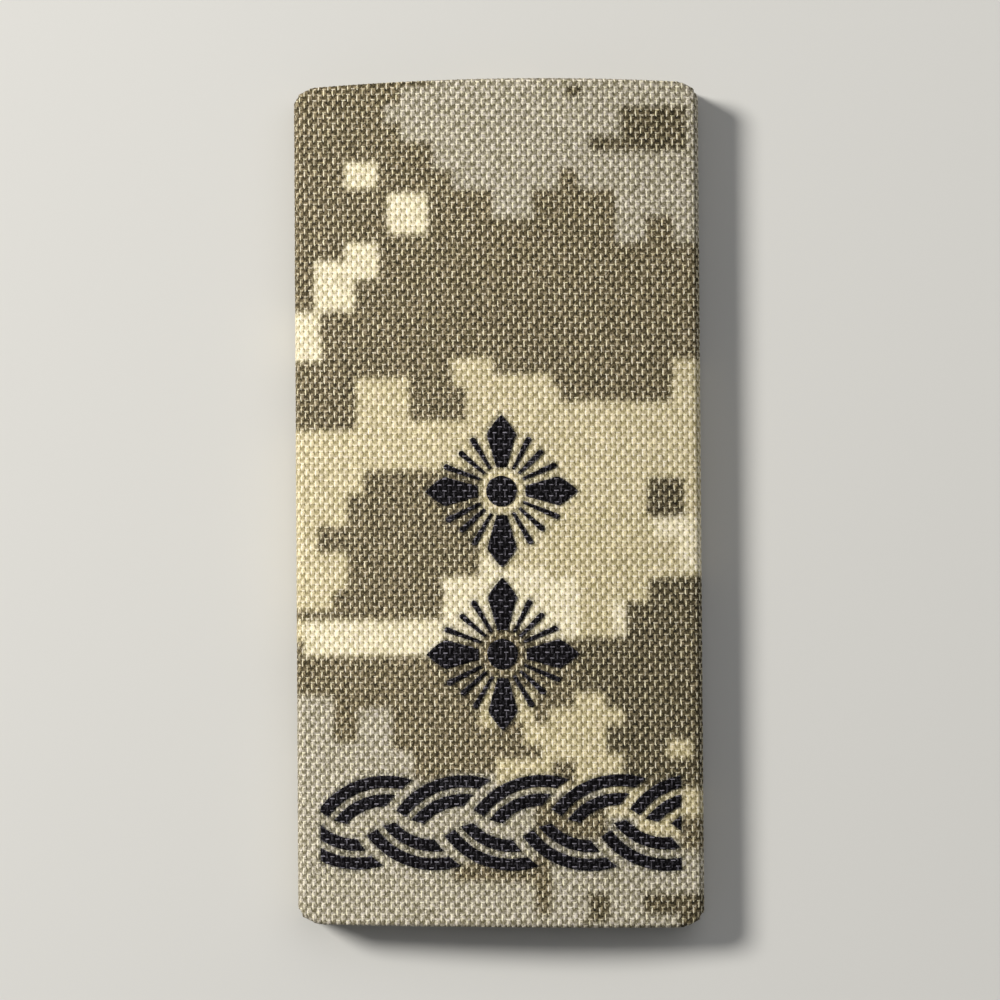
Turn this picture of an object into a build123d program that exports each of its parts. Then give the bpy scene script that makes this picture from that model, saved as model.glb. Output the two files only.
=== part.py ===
from build123d import *
import os
from math import atan, atan2, degrees, tan

os.makedirs("parts", exist_ok=True)

# A slip-on shoulder board: a cloth sleeve, open at both ends, lying on its back, with thin black film
# pressed on to its front. X runs across the board, Y along it towards the stars' end, and Z up through
# its front. The origin is under the middle of the board, on the surface that it lies on. All sizes are
# in millimetres.

# The sleeve: a low crown in front, pressed folds beside it, short side walls and a flat back
board_width = 50.85
board_length = 106.35
board_height = 8.4
cloth = 1.0
crown_rise = 1.8
front_fold_radius = 1.2
back_fold_radius = 2.2

# The two ends bow outwards, and neither is quite square to the sides. How far each falls short of the
# board's full length:
upper_end_short = {"left": 0.97, "middle": 0.02, "right": 0.48}
lower_end_short = {"left": 0.75, "middle": 0.3, "right": 0.0}
upper_corner_radius = 2.5
lower_corner_radius = 2.7

# The seam down the middle of the back, where one edge of the cloth lies over the other
lap_width = 12.0
lap_slit = 0.1
lap_rise_run = 2.5

# The film pressed on to the front
film_thickness = 0.25
film_gap = 0.05

# The two stars
star_centre_x = 0.43
lower_star_above_braid = 21.0
star_spacing = 20.33
disc_radius = 1.92
point_inner_radius = 3.0
point_inner_width = 1.3
point_shoulder_radius = 7.1
point_shoulder_width = 3.65
point_shoulder_round = 0.5
point_tip_radius = 9.53
point_tip_bulge = 0.12
ray_inner_radius = 3.07
ray_inner_width = 0.38
ray_outer_width = 0.7
middle_ray_radius = 7.2
side_ray_radius = 7.6
long_ray_radius = 7.9
# Three rays to each quarter. The angles are those of a ray's two ends, and few rays are quite radial.
rays = (
    {"inner_angle": 29.3, "outer_angle": 25.8, "outer_radius": side_ray_radius},
    {"inner_angle": 45.0, "outer_angle": 44.4, "outer_radius": middle_ray_radius},
    {"inner_angle": 61.7, "outer_angle": 62.2, "outer_radius": side_ray_radius},
    {"inner_angle": 116.5, "outer_angle": 119.0, "outer_radius": side_ray_radius},
    {"inner_angle": 133.8, "outer_angle": 136.7, "outer_radius": middle_ray_radius},
    {"inner_angle": 150.8, "outer_angle": 156.1, "outer_radius": long_ray_radius},
    {"inner_angle": 210.0, "outer_angle": 207.9, "outer_radius": long_ray_radius},
    {"inner_angle": 227.0, "outer_angle": 224.3, "outer_radius": middle_ray_radius},
    {"inner_angle": 245.3, "outer_angle": 242.2, "outer_radius": side_ray_radius},
    {"inner_angle": 297.8, "outer_angle": 299.3, "outer_radius": side_ray_radius},
    {"inner_angle": 316.0, "outer_angle": 316.8, "outer_radius": middle_ray_radius},
    {"inner_angle": 332.8, "outer_angle": 335.2, "outer_radius": long_ray_radius},
)

# The braid. Its strands run in pairs, the two of a pair round one centre, in an upper and a lower row.
# Places in it are measured from its left end and its middle height, those of a pair from its start.
braid_width = 45.0
braid_centre_x = 0.05
braid_above_end = 13.3
pair_pitch = 9.73
pairs_in_row = 5
pair_centre = (8.13, -4.43)
outer_strand_radius = 10.37
inner_strand_radius = 8.05
strand_width = 1.48
strand_end_clearance = 1.3
# The slanting cuts that the two strands of a pair start on
outer_cut = (0.46, 1.1)
outer_cut_slope = -0.66
inner_cut = (2.6, 0.12)
inner_cut_slope = -0.26
# The lower row is the upper one turned over, moved along, raised at its left end and turned a little
lower_row_shift = 6.04
lower_row_rise = 0.25
lower_row_turn = -0.6
lower_cut_shortening = 0.15
# The lower row's last inner strand lies further in and ends nearer to the braid's right end
last_inner_shift = (-0.3, -0.35)
last_inner_end_clearance = 0.75
end_mark_depth = 1.3
end_mark_height = 1.9
end_mark_drop = 0.25

half_width = board_width / 2
half_length = board_length / 2
front_fold_x = half_width - front_fold_radius
back_fold_x = half_width - back_fold_radius
front_fold_drop = crown_rise + front_fold_radius
front_fold_z = board_height - front_fold_drop
# The crown's arc is tangent to both front folds
crown_radius = (front_fold_x**2 + front_fold_drop**2 - front_fold_radius**2) / (2 * crown_rise)
crown_centre_z = board_height - crown_radius
tangent_angle = degrees(atan2(front_fold_z - crown_centre_z, front_fold_x))


def sleeve_profile(inset):
    """The section of the closed sleeve, that far inside its outer face."""
    side_x = half_width - inset
    back_fold = back_fold_radius - inset
    front_fold = front_fold_radius - inset
    with BuildSketch(mode=Mode.PRIVATE) as profile:
        with BuildLine():
            Line((-back_fold_x, inset), (back_fold_x, inset))
            CenterArc((back_fold_x, back_fold_radius), back_fold, -90, 90)
            Line((side_x, back_fold_radius), (side_x, front_fold_z))
            CenterArc((front_fold_x, front_fold_z), front_fold, 0, tangent_angle)
            CenterArc((0, crown_centre_z), crown_radius - inset, tangent_angle, 180 - 2 * tangent_angle)
            CenterArc((-front_fold_x, front_fold_z), front_fold, 180 - tangent_angle, tangent_angle)
            Line((-side_x, front_fold_z), (-side_x, back_fold_radius))
            CenterArc((-back_fold_x, back_fold_radius), back_fold, 180, 90)
        make_face()
    return profile.sketch


def board_outline():
    """The board seen from the front: straight sides, bowed ends and round corners."""
    upper_left = (-half_width, half_length - upper_end_short["left"])
    upper_middle = (0, half_length - upper_end_short["middle"])
    upper_right = (half_width, half_length - upper_end_short["right"])
    lower_left = (-half_width, lower_end_short["left"] - half_length)
    lower_middle = (0, lower_end_short["middle"] - half_length)
    lower_right = (half_width, lower_end_short["right"] - half_length)
    with BuildSketch(mode=Mode.PRIVATE) as outline:
        with BuildLine():
            Line(lower_right, upper_right)
            ThreePointArc(upper_right, upper_middle, upper_left)
            Line(upper_left, lower_left)
            ThreePointArc(lower_left, lower_middle, lower_right)
        make_face()
        corners = outline.vertices().sort_by(Axis.Y)
        fillet(corners[:2], lower_corner_radius)
        fillet(corners[2:], upper_corner_radius)
    return outline.sketch


# The sleeve is one strip of cloth. Its left edge lies flat under the lap, and its right edge rises
# over it.
lap_edge = lap_width / 2
lap_top = 2 * cloth + lap_slit
rise_end = lap_edge + lap_slit
rise_start = rise_end + lap_rise_run
rise_angle = atan((cloth + lap_slit) / lap_rise_run)
mitre = cloth * tan(rise_angle / 2)

with BuildPart() as sleeve:
    with BuildSketch(Plane.XZ):
        add(sleeve_profile(0))
        add(sleeve_profile(cloth), mode=Mode.SUBTRACT)
        with BuildLine():
            Polyline(
                (lap_edge, 0),
                (rise_start + mitre, 0),
                (rise_start + mitre, cloth),
                (lap_edge, cloth),
                close=True,
            )
        make_face(mode=Mode.SUBTRACT)
        with BuildLine():
            Polyline(
                (rise_start, 0),
                (rise_start + mitre, 0),
                (rise_start + mitre, cloth),
                (rise_end + mitre, lap_top),
                (-lap_edge, lap_top),
                (-lap_edge, cloth + lap_slit),
                (rise_end, cloth + lap_slit),
                close=True,
            )
        make_face()
    extrude(amount=half_length, both=True)
    with BuildSketch():
        add(board_outline())
    extrude(amount=board_height, mode=Mode.INTERSECT)
sleeve.part.label = "sleeve"
export_step(sleeve.part, "parts/sleeve.step")


def press_film(label, outline):
    """One node of film: the flat outline is carried up to the crown and takes its curve."""
    underside = crown_radius + film_gap
    with BuildPart() as film:
        with BuildSketch(Plane.XY.offset(front_fold_z)):
            add(outline)
        extrude(amount=board_height)
        with BuildSketch(Plane.XZ):
            with Locations((0, crown_centre_z)):
                Circle(underside + film_thickness)
                Circle(underside, mode=Mode.SUBTRACT)
        extrude(amount=half_length, both=True, mode=Mode.INTERSECT)
    film.part.label = label
    export_step(film.part, f"parts/{label}.step")


def star_disc():
    """The round middle of a star."""
    with BuildSketch(mode=Mode.PRIVATE) as disc:
        Circle(disc_radius)
    return disc.sketch


def star_points():
    """The four broad points of a star, each widest at its rounded shoulders and bulging to its tip."""
    shoulder_y = point_shoulder_width / 2
    with BuildSketch(mode=Mode.PRIVATE) as point:
        with BuildLine():
            Polyline(
                (point_shoulder_radius, shoulder_y),
                (point_inner_radius, point_inner_width / 2),
                (point_inner_radius, -point_inner_width / 2),
                (point_shoulder_radius, -shoulder_y),
            )
            SagittaArc((point_shoulder_radius, -shoulder_y), (point_tip_radius, 0), -point_tip_bulge)
            SagittaArc((point_tip_radius, 0), (point_shoulder_radius, shoulder_y), -point_tip_bulge)
        make_face()
        shoulders = point.vertices().filter_by(lambda corner: abs(corner.Y) > 0.9 * shoulder_y)
        fillet(shoulders, point_shoulder_round)
    with BuildSketch(mode=Mode.PRIVATE) as points:
        with PolarLocations(0, 4):
            add(point.sketch)
    return points.sketch


def star_rays():
    """The thin rays between the points, wider and rounded at their outer ends."""
    with BuildSketch(mode=Mode.PRIVATE) as outline:
        for ray in rays:
            outer_end = Vector(ray["outer_radius"] - ray_outer_width / 2, 0).rotate(Axis.Z, ray["outer_angle"])
            inner_end = Vector(ray_inner_radius, 0).rotate(Axis.Z, ray["inner_angle"])
            way = outer_end - inner_end
            with Locations(Location(inner_end, (0, 0, degrees(atan2(way.Y, way.X))))):
                Polygon(
                    (0, -ray_inner_width / 2),
                    (way.length, -ray_outer_width / 2),
                    (way.length, ray_outer_width / 2),
                    (0, ray_inner_width / 2),
                    align=None,
                )
            with Locations(outer_end):
                Circle(ray_outer_width / 2)
    return outline.sketch


def placed(outline, x, y):
    """The outline moved to its place on the front."""
    with BuildSketch(mode=Mode.PRIVATE) as moved:
        with Locations((x, y)):
            add(outline)
    return moved.sketch


braid_centre_y = braid_above_end - half_length
lower_star_y = braid_centre_y + lower_star_above_braid
for star, star_y in (("upper", lower_star_y + star_spacing), ("lower", lower_star_y)):
    press_film(f"star_{star}_disc", placed(star_disc(), star_centre_x, star_y))
    press_film(f"star_{star}_points", placed(star_points(), star_centre_x, star_y))
    press_film(f"star_{star}_rays", placed(star_rays(), star_centre_x, star_y))


def strand(start_x, radius, cut, cut_slope, end_clearance=strand_end_clearance):
    """One strand of the upper row. It starts on its slanting cut and ends short of the next pair."""
    centre_x = start_x + pair_centre[0]
    centre_y = pair_centre[1]
    cut_x = start_x + cut[0]
    cut_y = cut[1]
    reach = 2 * outer_strand_radius
    cut_fall = reach * cut_slope
    with BuildSketch(mode=Mode.PRIVATE) as curved:
        with Locations((centre_x, centre_y)):
            Circle(radius)
            Circle(radius - strand_width, mode=Mode.SUBTRACT)
        with BuildLine():
            Polyline(
                (cut_x - reach, cut_y - cut_fall),
                (cut_x + reach, cut_y + cut_fall),
                (cut_x + reach, cut_y + reach),
                (cut_x - reach, cut_y + reach),
                close=True,
            )
        make_face(mode=Mode.INTERSECT)
        with Locations((centre_x + pair_pitch, centre_y)):
            Circle(outer_strand_radius + end_clearance, mode=Mode.SUBTRACT)
    return curved.sketch


def outer_strand(start_x, shortening=0.0):
    """The outer strand of the pair that starts there."""
    cut = (outer_cut[0], outer_cut[1] + shortening)
    return strand(start_x, outer_strand_radius, cut, outer_cut_slope)


def inner_strand(start_x, shortening=0.0, end_clearance=strand_end_clearance):
    """The inner strand of the pair that starts there."""
    cut = (inner_cut[0], inner_cut[1] + shortening)
    return strand(start_x, inner_strand_radius, cut, inner_cut_slope, end_clearance)


def clip_to_braid():
    """Cuts what the open sketch holds to the braid's straight ends."""
    with Locations((braid_width / 2, 0)):
        Rectangle(braid_width, 4 * outer_strand_radius, mode=Mode.INTERSECT)


def upper_row():
    """The strands that rise to the right, and the mark that fills the corner at the right end."""
    with BuildSketch(mode=Mode.PRIVATE) as row:
        for pair in range(pairs_in_row):
            add(outer_strand(pair * pair_pitch))
            add(inner_strand(pair * pair_pitch))
        Polygon(
            (braid_width - end_mark_depth, -end_mark_drop),
            (braid_width, -end_mark_drop - end_mark_height / 2),
            (braid_width, -end_mark_drop + end_mark_height / 2),
            align=None,
        )
        clip_to_braid()
    return row.sketch


def lower_row():
    """The strands that fall to the right."""
    last_pair = pairs_in_row - 2
    with BuildSketch(mode=Mode.PRIVATE) as turned_over:
        for pair in range(-1, last_pair + 1):
            start_x = pair * pair_pitch + lower_row_shift
            add(outer_strand(start_x, lower_cut_shortening))
            if pair < last_pair:
                add(inner_strand(start_x, lower_cut_shortening))
            else:
                with Locations(last_inner_shift):
                    add(inner_strand(start_x, 0.0, last_inner_end_clearance))
    with BuildSketch(mode=Mode.PRIVATE) as row:
        with Locations(Location((0, lower_row_rise), (0, 0, lower_row_turn))):
            add(mirror(turned_over.sketch, about=Plane.XZ, mode=Mode.PRIVATE))
        clip_to_braid()
    return row.sketch


braid_left = braid_centre_x - braid_width / 2
press_film("braid_upper_strands", placed(upper_row(), braid_left, braid_centre_y))
press_film("braid_lower_strands", placed(lower_row(), braid_left, braid_centre_y))
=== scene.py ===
import math

import bmesh
import bpy
import numpy as np
from mathutils import Matrix, Vector


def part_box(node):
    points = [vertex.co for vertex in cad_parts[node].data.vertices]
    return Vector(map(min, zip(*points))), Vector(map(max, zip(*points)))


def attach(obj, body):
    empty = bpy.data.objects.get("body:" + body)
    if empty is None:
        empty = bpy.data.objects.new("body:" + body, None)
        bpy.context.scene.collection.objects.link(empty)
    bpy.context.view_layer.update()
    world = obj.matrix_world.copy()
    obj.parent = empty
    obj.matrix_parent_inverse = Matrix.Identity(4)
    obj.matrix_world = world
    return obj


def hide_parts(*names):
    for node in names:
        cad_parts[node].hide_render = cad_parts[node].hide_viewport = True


bl_info = {
    "name": "Shoulder board",
    "version": (1, 0, 0),
    "blender": (4, 5, 0),
    "location": "3D View > Sidebar > Shoulder board",
    "description": "Dresses the packed shoulder board in woven printed cloth, pressed film and thread",
    "category": "Object",
}

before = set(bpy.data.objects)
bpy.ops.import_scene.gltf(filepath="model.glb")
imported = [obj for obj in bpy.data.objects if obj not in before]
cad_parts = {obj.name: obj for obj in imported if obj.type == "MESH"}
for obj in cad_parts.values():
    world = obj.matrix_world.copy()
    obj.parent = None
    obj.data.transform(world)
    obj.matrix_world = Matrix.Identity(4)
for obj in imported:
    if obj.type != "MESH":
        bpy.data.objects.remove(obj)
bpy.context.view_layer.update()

# Lengths in this file's own sums are in millimetres, and settings and finished meshes are in metres.
mm = 0.001
film_nodes = sorted(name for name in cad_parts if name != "sleeve")
sleeve_low, sleeve_high = (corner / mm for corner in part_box("sleeve"))
half_width = (sleeve_high.x - sleeve_low.x) / 2
half_length = (sleeve_high.y - sleeve_low.y) / 2
board_height = sleeve_high.z
full_length = 106.35  # before its bowed ends fall short of it

# The print, measured from the middle of the front: later patches lie over earlier ones. A patch that
# reaches a side of the front goes on round its fold.
PRINT_COLUMNS = ("tone", "left", "bottom", "right", "top")
PRINT = (
    ("grey", -8.1, 51.9, 29.0, 56.1),
    ("grey", -11.9, 49.9, 29.0, 52.1),
    ("grey", -13.9, 47.7, 29.0, 50.1),
    ("grey", -12.0, 45.3, 29.0, 47.8),
    ("grey", -8.0, 41.8, 29.0, 45.4),
    ("grey", -5.6, 39.2, 29.0, 41.9),
    ("grey", -0.5, 35.6, 4.5, 39.2),
    ("grey", 14.9, 32.5, 29.0, 39.1),
    ("brown", 7.9, 39.2, 10.3, 41.9),
    ("brown", 18.7, 32.5, 22.3, 35.8),
    ("dark", 8.8, 50.7, 10.8, 52.2),
    ("dark", 15.7, 44.0, 24.0, 49.7),
    ("dark", 11.8, 44.0, 15.8, 45.8),
    ("light", -19.1, 39.6, -15.0, 42.8),
    ("light", -13.6, 33.8, -8.6, 38.9),
    ("light", -19.1, 28.2, -14.9, 32.7),
    ("light", -23.0, 24.2, -17.9, 30.4),
    ("light", -30.0, 18.0, -22.2, 24.1),
    ("cream", -17.7, 9.2, -11.0, 15.7),
    ("cream", -3.9, 9.1, 7.8, 14.7),
    ("cream", -0.5, 9.1, 6.9, 16.0),
    ("cream", 6.9, 9.0, 22.0, 12.6),
    ("cream", 22.0, 8.9, 31.0, 17.9),
    ("cream", -30.0, -17.0, 31.0, 9.2),
    ("cream", -11.1, 9.1, -3.8, 10.3),
    ("brown", -11.1, 10.3, -3.9, 15.5),
    ("cream", -5.7, 14.6, -0.5, 18.1),
    ("brown", -16.9, 1.2, -2.3, 4.2),
    ("brown", -19.0, -9.1, -2.3, 1.3),
    ("brown", -22.8, -6.1, -18.8, -2.8),
    ("brown", -19.0, -14.4, -7.0, -9.1),
    ("brown", -20.9, -14.4, -18.9, -10.8),
    ("brown", -33.0, -14.5, -7.0, -13.3),
    ("khaki", 9.9, -16.9, 14.2, -9.6),
    ("khaki", 6.0, -12.1, 18.6, -1.2),
    ("dark", 18.7, -1.8, 23.3, 3.1),
    ("light", -24.5, -18.9, -7.0, -14.7),
    ("light", -7.0, -17.0, 9.9, -9.4),
    ("brown", -1.9, -17.2, 3.0, -15.4),
    ("brown", 3.0, -17.2, 4.2, -16.0),
    ("light", -2.2, -9.5, 0.0, -6.6),
    ("light", -2.2, -10.8, 6.1, -8.3),
    ("light", 14.2, -16.9, 15.8, -12.1),
    ("light", 19.5, -4.4, 29.0, -1.8),
    ("light", 22.7, -8.9, 29.0, -1.8),
    ("dark", 18.7, -17.2, 31.0, -9.4),
    ("dark", 15.8, -17.1, 18.8, -12.4),
    ("dark", 9.8, -34.6, 33.0, -16.9),
    ("brown", -33.0, -33.2, 9.8, -19.1),
    ("grey", -29.0, -30.3, -20.9, -24.0),
    ("grey", -17.7, -30.1, -13.5, -25.6),
    ("grey", -29.0, -31.3, -13.5, -29.8),
    ("grey", -31.0, -36.9, -10.8, -30.8),
    ("grey", -31.0, -55.9, 33.0, -33.8),
    ("brown", -13.5, -30.9, -10.9, -30.1),
    ("brown", -10.8, -34.7, -6.5, -30.1),
    ("brown", -6.5, -32.6, -0.5, -30.1),
    ("khaki", -2.5, -28.1, -0.3, -22.1),
    ("khaki", 1.9, -27.3, 4.4, -23.3),
    ("khaki", 9.5, -26.1, 13.2, -23.8),
    ("khaki", 6.1, -27.8, 15.4, -25.7),
    ("khaki", 3.0, -30.3, 13.4, -27.3),
    ("khaki", 5.2, -32.3, 13.4, -30.1),
    ("khaki", -0.4, -35.8, 15.3, -31.9),
    ("khaki", 13.4, -35.9, 15.4, -31.4),
    ("khaki", 24.6, -29.7, 28.0, -24.7),
    ("brown", 4.4, -27.6, 6.1, -24.6),
    ("brown", -0.5, -31.9, 3.0, -28.0),
    ("brown", 3.0, -32.1, 5.2, -30.1),
    ("brown", 6.5, -35.2, 9.5, -32.3),
    ("dark", 13.3, -31.4, 31.0, -27.8),
    ("dark", 15.4, -35.8, 31.0, -23.9),
    ("khaki", 21.0, -31.9, 24.0, -29.7),
    ("khaki", 13.3, -39.3, 31.0, -35.8),
    ("khaki", 17.2, -41.9, 22.4, -39.3),
    ("brown", 22.6, -43.4, 29.0, -39.3),
    ("brown", 4.3, -42.1, 13.3, -37.1),
    ("brown", -6.1, -47.3, 6.4, -44.8),
    ("brown", 4.3, -51.3, 6.4, -43.9),
    ("dark", 10.9, -52.4, 13.6, -48.6),
    ("dark", 18.0, -51.4, 27.0, -48.8),
    ("dark", 22.4, -53.4, 27.0, -51.4),
)


def length(name, description, default):
    """A setting that is a length: its default is in millimetres."""
    return bpy.props.FloatProperty(
        name=name, description=description, default=default * mm, min=0, unit="LENGTH", precision=5
    )


def share(name, description, default, most=1.0):
    """A setting that is a plain number."""
    return bpy.props.FloatProperty(name=name, description=description, default=default, min=0, max=most)


def colour(name, description, default):
    """A setting that is a colour, in linear red, green and blue."""
    return bpy.props.FloatVectorProperty(
        name=name, description=description, default=default, size=3, min=0, max=1, subtype="COLOR"
    )


def lengths(name, description, default):
    """Three lengths, at a left corner, a middle and a right corner: their defaults are in millimetres."""
    return bpy.props.FloatVectorProperty(
        name=name, description=description, default=[v * mm for v in default], size=3, min=0, unit="LENGTH",
        precision=5,
    )


def angle(name, description, default):
    """A setting that is an angle: its default is in degrees."""
    return bpy.props.FloatProperty(
        name=name, description=description, default=math.radians(default), subtype="ANGLE"
    )


class SleeveSettings(bpy.types.PropertyGroup):
    """The sizes of the sleeve's section, its weave, the colours of its print and the colours of the painted
    highlights on its yarns
    """

    cloth: length("Cloth", "Thickness of the folded and pressed cloth", 1.0)
    crown_rise: length("Crown rise", "How far the front rises between its folds", 1.8)
    front_fold: length("Front fold", "Outside radius of the two folds beside the front", 1.2)
    back_fold: length("Back fold", "Outside radius of the two folds beside the back", 2.2)
    upper_short: lengths("Upper end", "How far short of full length the stars' end is", (0.97, 0.02, 0.48))
    lower_short: lengths("Lower end", "How far short of full length the braid's end is", (0.75, 0.3, 0.0))
    upper_corner: length("Upper corners", "Radius of the corners at the stars' end", 3.1)
    lower_corner: length("Lower corners", "Radius of the corners at the braid's end", 3.3)
    lap_width: length("Lap width", "How far the cloth's two edges lie over each other", 12.0)
    lap_slit: length("Lap slit", "Gap between the two layers of the lap", 0.1)
    lap_rise_run: length("Lap rise", "Run in which the inner layer rises over the outer one", 2.5)
    lap_bend: length("Lap bend", "Radius of the bends at the foot and head of that rise", 1.2)
    warp_pitch: length("Warp pitch", "Mean spacing of the yarns that run along the board", 0.636)
    warp_spread: share("Warp spread", "How much wider each warp is than the one on its left", 0.00092)
    weft_pitch: length("Weft pitch", "Spacing of the yarns that run across the board", 0.7225)
    pit_depth: length("Pit depth", "Depth of the holes at the corners of the crossings", 0.15)
    weft_depth: length("Weft depth", "How much lower the wefts' tops lie than the warps'", 0.05)
    flank_depth: length("Flank depth", "Depth of the surface halfway between two yarns", 0.06)
    sway: length("Sway", "How far the yarns bulge where they pass over", 0.03)
    unevenness: length("Unevenness", "Scatter in the height and place of the yarns", 0.016)
    end_round: length("End round", "Radius that the cloth's ends and edges are rounded to", 0.45)
    press_reach: length("Press reach", "How far round the film the cloth is pressed", 0.36)
    press_depth: length("Press depth", "How deep the film is pressed in", 0.06)
    # The print is darkened near the points, rays and strands, by these amounts.
    darkening_reach: length("Soil reach", "How far round the points, rays and strands the print is dulled", 0.62)
    near_film_darkening: colour("Soil", "How much of each colour that takes away", (0.64, 0.62, 0.58))
    brown: colour("Brown", "The print's ground", (0.212, 0.172, 0.096))
    dark: colour("Dark brown", "The print's darkest tone", (0.150, 0.122, 0.066))
    grey: colour("Grey", "The print's grey", (0.455, 0.416, 0.314))
    khaki: colour("Khaki", "The print's khaki", (0.670, 0.584, 0.343))
    cream: colour("Cream", "The print's cream", (0.700, 0.612, 0.370))
    light: colour("Light cream", "The print's palest tone", (0.878, 0.793, 0.535))
    # Colours of the painted highlights on the yarns, which stand in for their sheen.
    highlight_colour: colour("Crest", "Worn and shining tops of the yarns", (0.920, 0.850, 0.560))
    cool_highlight_colour: colour("Cool crest", "The same on the greyer yarns", (0.860, 0.820, 0.620))
    pale_highlight_colour: colour("Pale crest", "The same where the print is pale", (1.000, 0.965, 0.800))
    lining: colour("Lining", "The unprinted inside", (0.330, 0.290, 0.190))


class FilmSettings(bpy.types.PropertyGroup):
    """The black film of the stars and the braid"""

    lift: length("Lift", "Height of the film's top over the cloth's nominal face", 0.16)
    edge_round: length("Edge round", "Width and depth of its rounded edge", 0.09)
    grid_across: length("Grid across", "Spacing of its mesh across the board", 0.2)
    grid_along: length("Grid along", "Spacing of its mesh along the board", 0.178)
    imprint: length("Imprint", "Depth of the weave's imprint in the film", 0.07)
    ragged: length("Ragged", "How far its outline strays as it follows the weave", 0.014)
    black: colour("Black", "The film itself", (0.0030, 0.0025, 0.0030))
    # The colour of the painted highlights on the film's imprint and rim.
    edge: colour("Edge", "The rubbed lines on its imprint", (0.24, 0.225, 0.26))


class ThreadSettings(bpy.types.PropertyGroup):
    """The thread that sews the lap"""

    thread: length("Thread", "Thickness of the thread", 0.32)
    stitch: length("Stitch", "Length of one stitch", 2.6)
    gap: length("Gap", "Space between two stitches", 0.45)
    inset: length("Inset", "Distance of the stitches from the lap's edges", 2.0)
    khaki: colour("Thread colour", "The thread's own colour", (0.330, 0.280, 0.170))


class StageSettings(bpy.types.PropertyGroup):
    """The floor, the lights and the camera"""

    field: length("Field", "Width of the view at the board", 124.8)
    distance: length("Distance", "From the camera to the board", 560.0)
    lean_down: angle("Lean down", "How far the camera leans towards the braid's end", 1.7)
    lean_right: angle("Lean right", "How far the camera leans towards the board's right side", 0.7)
    roll: angle("Roll", "How far the board is turned in the picture", 0.4)
    aim_x: bpy.props.FloatProperty(
        name="Aim across", description="Where the camera points", default=0.24 * mm, unit="LENGTH"
    )
    aim_y: bpy.props.FloatProperty(
        name="Aim along", description="Where the camera points", default=0.34 * mm, unit="LENGTH"
    )
    floor: colour("Floor", "The pale floor", (0.62, 0.61, 0.58))
    key_power: share("Key power", "Watts of the light at the upper left", 13.4, 1000)
    fill_power: share("Fill power", "Watts of the broad light overhead", 3.5, 1000)
    air: share("Air", "Strength of the light from all round", 0.16, 10)


class Value:
    """A socket of a finish's nodes. Arithmetic on it adds Math nodes."""

    def __init__(self, finish, socket):
        self.finish = finish
        self.socket = socket

    def math(self, operation, *values, clamp=False):
        settings = {"operation": operation, "use_clamp": clamp}
        return self.finish.node("ShaderNodeMath", settings, dict(enumerate(values)))

    def __add__(self, other):
        return self.math("ADD", self, other)

    def __radd__(self, other):
        return self.math("ADD", other, self)

    def __sub__(self, other):
        return self.math("SUBTRACT", self, other)

    def __rsub__(self, other):
        return self.math("SUBTRACT", other, self)

    def __mul__(self, other):
        return self.math("MULTIPLY", self, other)

    def __rmul__(self, other):
        return self.math("MULTIPLY", other, self)

    def __truediv__(self, other):
        return self.math("DIVIDE", self, other)

    def __mod__(self, other):
        return self.math("FLOORED_MODULO", self, other)

    def __abs__(self):
        return self.math("ABSOLUTE", self)

    def floor(self):
        return self.math("FLOOR", self)

    def held(self):
        """The value held between 0 and 1."""
        return self.math("ADD", self, 0, clamp=True)

    def near(self, place, peak, fall):
        """A soft line at a place: peak there, less by fall for each unit away, and held."""
        return (peak - abs(self - place) * fall).held()

    def ramp(self, low, high):
        """0 at low, 1 at high, straight between, and held outside."""
        return ((self - low) / (high - low)).held()


class Finish:
    """One material and its nodes."""

    def __init__(self, name, **constants):
        self.material = bpy.data.materials.new(name)
        self.material.use_nodes = True
        self.tree = self.material.node_tree
        self.shader = self.tree.nodes["Principled BSDF"]
        for socket, value in constants.items():
            self.shader.inputs[socket.replace("_", " ")].default_value = value

    def node(self, kind, settings=None, sockets=None, output=0):
        """Any node: its settings are set first, and then the values or links of its sockets."""
        node = self.tree.nodes.new(kind)
        for name, value in (settings or {}).items():
            setattr(node, name, value)
        for name, value in (sockets or {}).items():
            self.feed(node.inputs[name], value)
        return Value(self, node.outputs[output])

    def feed(self, socket, value):
        if isinstance(value, Value):
            self.tree.links.new(value.socket, socket)
        else:
            socket.default_value = value

    def set(self, name, value):
        """Feeds one of the shader's own sockets."""
        self.feed(self.shader.inputs[name], value)

    def mix(self, factor, first, second, blend="MIX"):
        """Two colours mixed: 0 is the first and 1 the second."""
        first, second = (c if isinstance(c, Value) else (*c, 1) for c in (first, second))
        settings = {"data_type": "RGBA", "blend_type": blend}
        return self.node("ShaderNodeMix", settings, {0: factor, 6: first, 7: second}, 2)

    def axes(self, vector):
        """The three numbers of a vector."""
        split = self.node("ShaderNodeSeparateXYZ", sockets={0: vector}).socket.node
        return [Value(self, split.outputs[k]) for k in range(3)]

    def vector(self, x, y, z=0.0):
        return self.node("ShaderNodeCombineXYZ", sockets={0: x, 1: y, 2: z})

    def noise(self, vector, detail=2.0, roughness=0.5, scale=1.0):
        sockets = {"Vector": vector, "Scale": scale, "Detail": detail, "Roughness": roughness}
        return self.node("ShaderNodeTexNoise", {}, sockets)

    def chances(self, vector):
        """Three random numbers, from 0 to 1, that are the same wherever the vector is."""
        picked = self.node("ShaderNodeTexWhiteNoise", {"noise_dimensions": "2D"}, {"Vector": vector}, 1)
        return self.axes(picked)

    def bump(self, height, strength, distance):
        sockets = {"Strength": strength, "Distance": distance, "Height": height}
        return self.node("ShaderNodeBump", {}, sockets)


def smooth_step(low, high, value):
    """0 below low and 1 above high, with a soft start and end between them."""
    t = np.clip((value - low) / (high - low), 0, 1)
    return t * t * (3 - 2 * t)


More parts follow.
